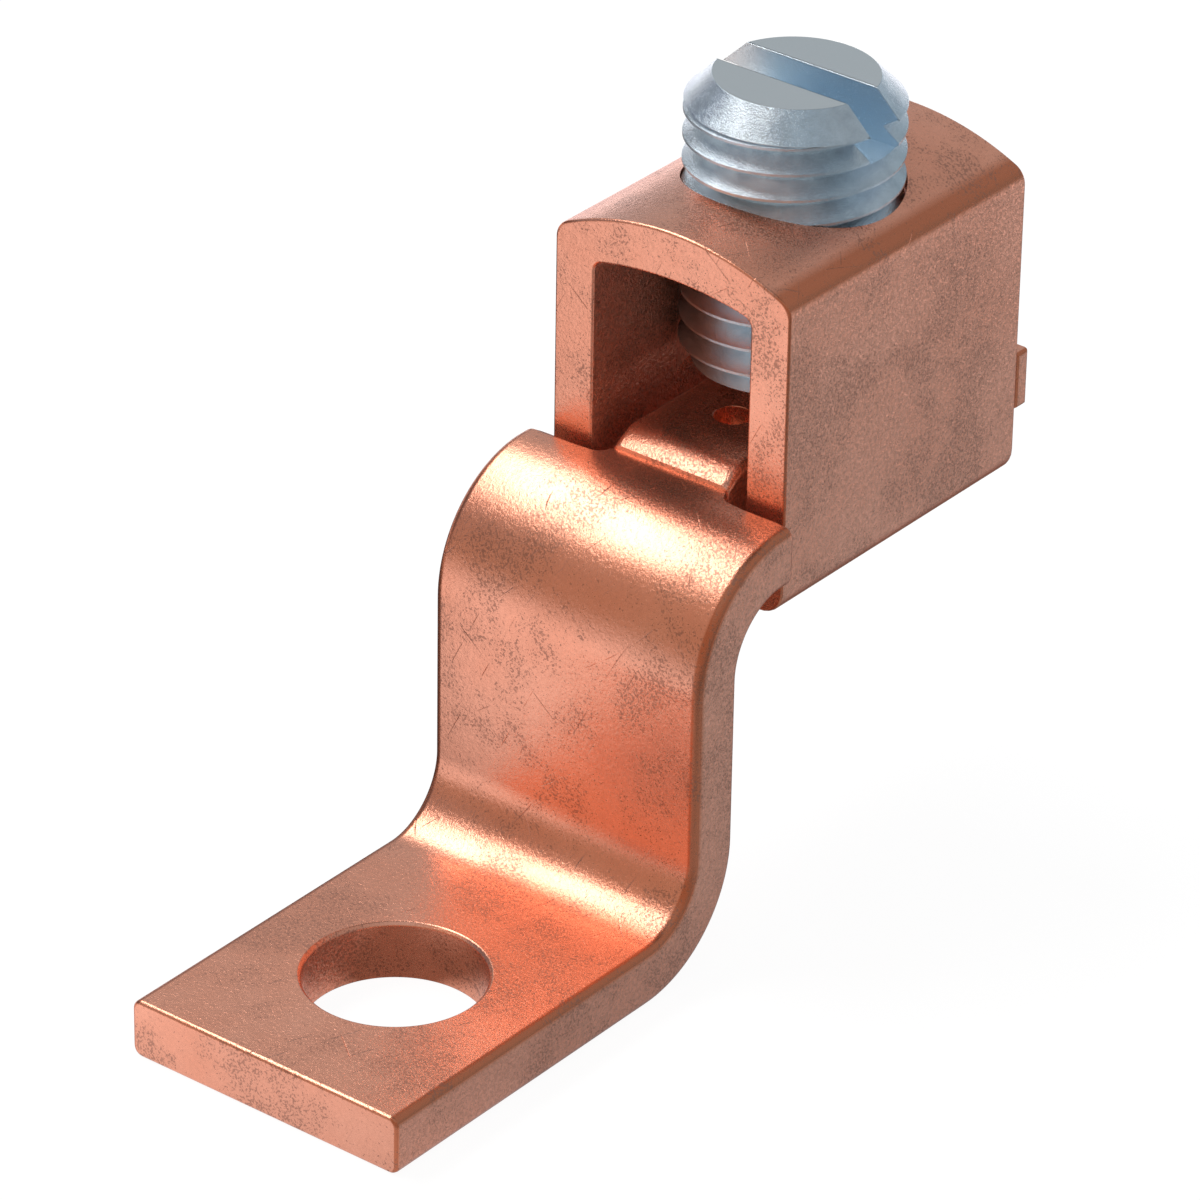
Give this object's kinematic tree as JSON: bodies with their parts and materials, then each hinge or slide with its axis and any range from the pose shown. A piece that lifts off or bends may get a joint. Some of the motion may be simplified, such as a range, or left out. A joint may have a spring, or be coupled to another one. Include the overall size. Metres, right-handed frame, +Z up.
{
  "type": "mechanical terminal lug",
  "caption": "Offset mechanical terminal lug: a bent copper tang with a stud hole in its palm, and a copper collar whose slotted set screw clamps a bare wire on the raised neck.",
  "frame": {"origin": "on the axis of the stud hole, in the underside of the palm", "axes": "+X from the palm towards the collar, along the lug; +Z up along the stud hole and the set screw; +Y across the strip"},
  "size_m": [0.037, 0.012, 0.0291],
  "materials": {
    "copper": "bare copper, tumbled to a satin, with a fine dark patina",
    "zinc_plated_steel": "bright zinc plating, slightly blue, satin to glossy"
  },
  "bodies": {
    "lug": {"tang": "copper", "collar": "copper"},
    "screw": {"set_screw": "zinc_plated_steel"}
  },
  "joints": [
    {"name": "screw_travel", "type": "slide", "parent": "lug", "child": "screw", "axis": [0, 0, 1], "range_m": [-0.0013, 0.0052]}
  ]
}
